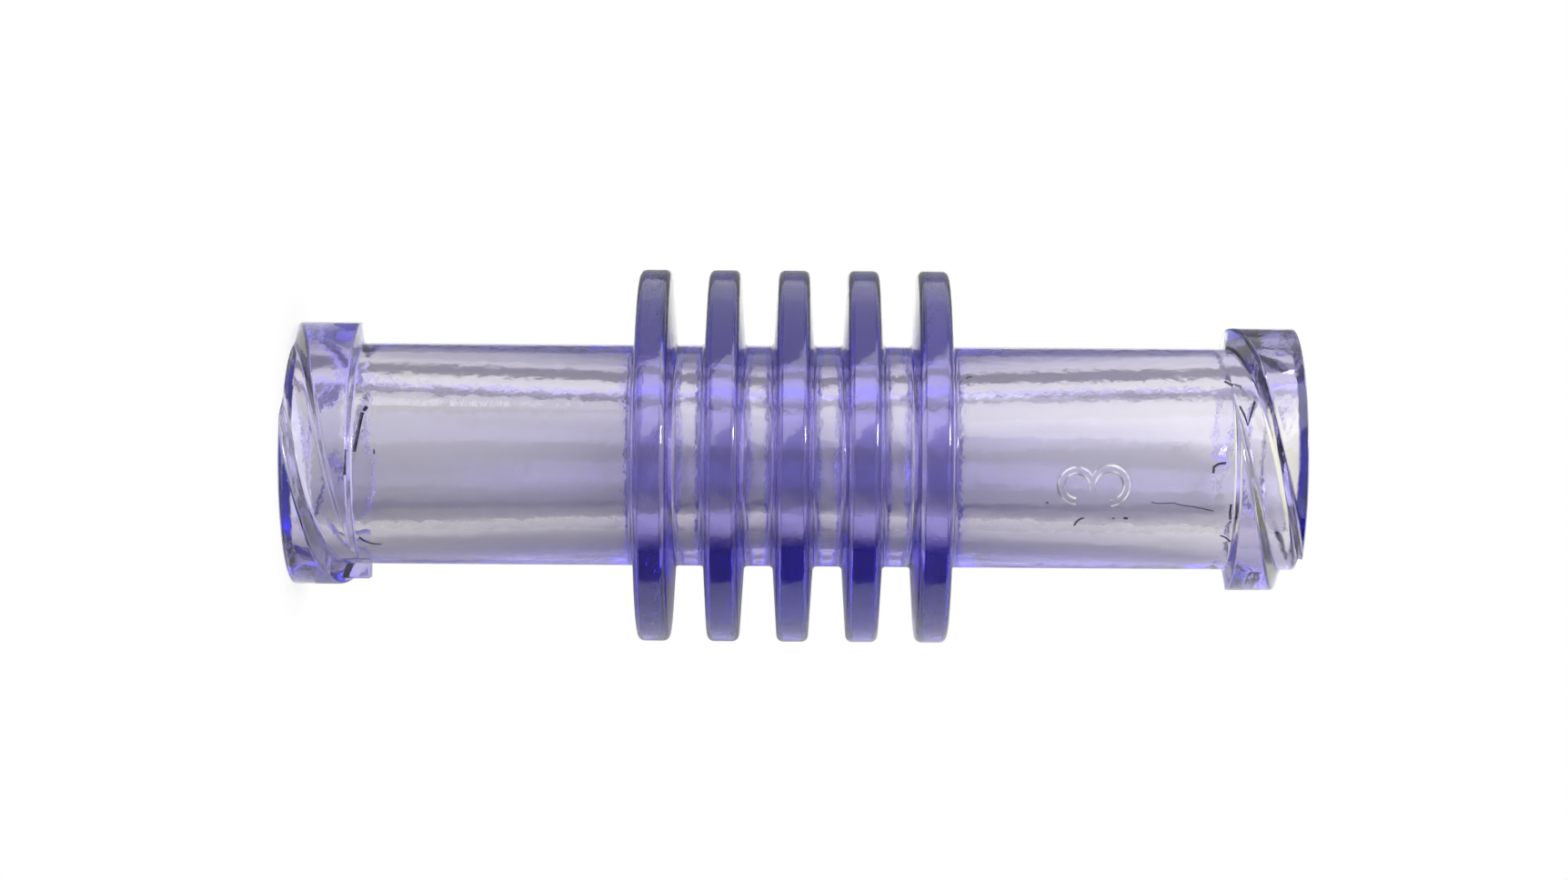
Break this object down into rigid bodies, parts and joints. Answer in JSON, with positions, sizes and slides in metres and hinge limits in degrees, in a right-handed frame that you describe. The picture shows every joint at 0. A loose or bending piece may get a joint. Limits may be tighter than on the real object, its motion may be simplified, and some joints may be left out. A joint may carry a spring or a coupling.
{
  "type": "female luer lock coupler",
  "caption": "Straight tinted clear tube coupler with a tapered socket and a short lock thread at each end, and round grip ribs around its middle.",
  "frame": {"origin": "centre of the lower end face, on the tube's axis", "axes": "+Z along the tube's axis from the lower end to the upper end; +X towards the mould's parting line at the step behind the lower lock thread; -Y towards the side with the plain moulded number"},
  "size_m": [0.011, 0.011, 0.0297],
  "materials": {
    "violet_polycarbonate": "clear injection-moulded polycarbonate with a light violet tint, smooth and glossy, with faint flow marks and fine scratches"
  },
  "bodies": {
    "root": {"coupler": "violet_polycarbonate"}
  },
  "joints": []
}
